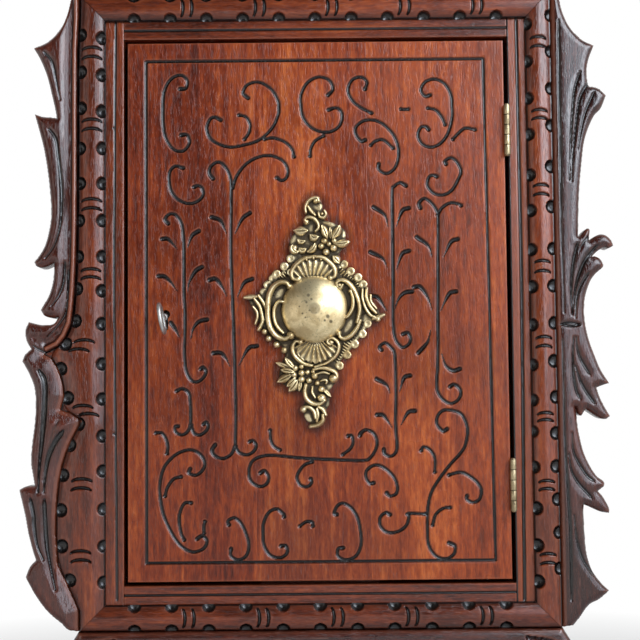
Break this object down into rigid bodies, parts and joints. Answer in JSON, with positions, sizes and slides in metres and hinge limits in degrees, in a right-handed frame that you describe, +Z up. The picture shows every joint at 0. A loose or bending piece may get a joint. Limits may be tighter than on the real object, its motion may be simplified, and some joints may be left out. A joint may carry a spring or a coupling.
{
  "type": "wall cabinet",
  "caption": "Wall-hung cabinet of carved mahogany: hinged door with incised scrolls and a cast brass ornament, notched half-round band, leaf-carved borders, lock with key, shelves inside.",
  "frame": {"origin": "on the wall plane, on the cabinet's centre line, at the middle of the door's height", "axes": "+X to the right as seen from the front, +Z up, +Y into the wall, so the front looks along -Y"},
  "size_m": [0.594, 0.2458, 0.9552],
  "materials": {
    "carved_mahogany": "polished mahogany, waxed dark in the cuts",
    "case_mahogany": "plain mahogany, dull wax",
    "back_softwood": "old unfinished softwood",
    "brass": "aged brass, dark in the hollows",
    "steel": "worn steel"
  },
  "bodies": {
    "case": {"case_side_left": "case_mahogany", "case_side_right": "case_mahogany", "case_top": "case_mahogany", "case_bottom": "case_mahogany", "back_board_left": "back_softwood", "back_board_centre": "back_softwood", "back_board_right": "back_softwood", "hanging_rail": "case_mahogany", "shelf_upper": "case_mahogany", "shelf_lower": "case_mahogany", "shelf_cleat_upper_left": "case_mahogany", "shelf_cleat_upper_right": "case_mahogany", "shelf_cleat_lower_left": "case_mahogany", "shelf_cleat_lower_right": "case_mahogany", "door_stop_top": "case_mahogany", "door_stop_bottom": "case_mahogany", "stile_left": "carved_mahogany", "stile_right": "carved_mahogany", "rail_top": "carved_mahogany", "rail_bottom": "carved_mahogany", "band_left": "carved_mahogany", "band_right": "carved_mahogany", "band_top": "carved_mahogany", "band_bottom": "carved_mahogany", "leaf_carving_left": "carved_mahogany", "leaf_carving_right": "carved_mahogany", "crest": "carved_mahogany", "apron": "carved_mahogany", "hinge_upper_frame_leaf": "brass", "hinge_lower_frame_leaf": "brass", "hinge_upper_pin": "brass", "hinge_lower_pin": "brass", "lock_keeper": "brass"},
    "door": {"door_board": "carved_mahogany", "door_clamp_upper": "case_mahogany", "door_clamp_lower": "case_mahogany", "door_ornament": "brass", "hinge_upper_door_leaf": "brass", "hinge_lower_door_leaf": "brass", "lock_plate": "steel", "lock_case": "steel"},
    "key": {"key": "steel"},
    "bolt": {"lock_bolt": "steel"}
  },
  "joints": [
    {"name": "door_swing", "type": "hinge", "parent": "case", "child": "door", "pos_m": [0.192, -0.2053, 0], "axis": [0, 0, 1], "range_deg": [0, 150]},
    {"name": "key_turn", "type": "hinge", "parent": "door", "child": "key", "pos_m": [-0.152, -0.1908, -0.005], "axis": [0, -0.9903, -0.1392], "range_deg": [0, 360]},
    {"name": "bolt_slide", "type": "slide", "parent": "door", "child": "bolt", "axis": [-1, 0, 0], "range_m": [0, 0.012]}
  ],
  "couplings": [
    {"joint": "key_turn", "follows": "bolt_slide", "rad_per_m": 523.6}
  ]
}
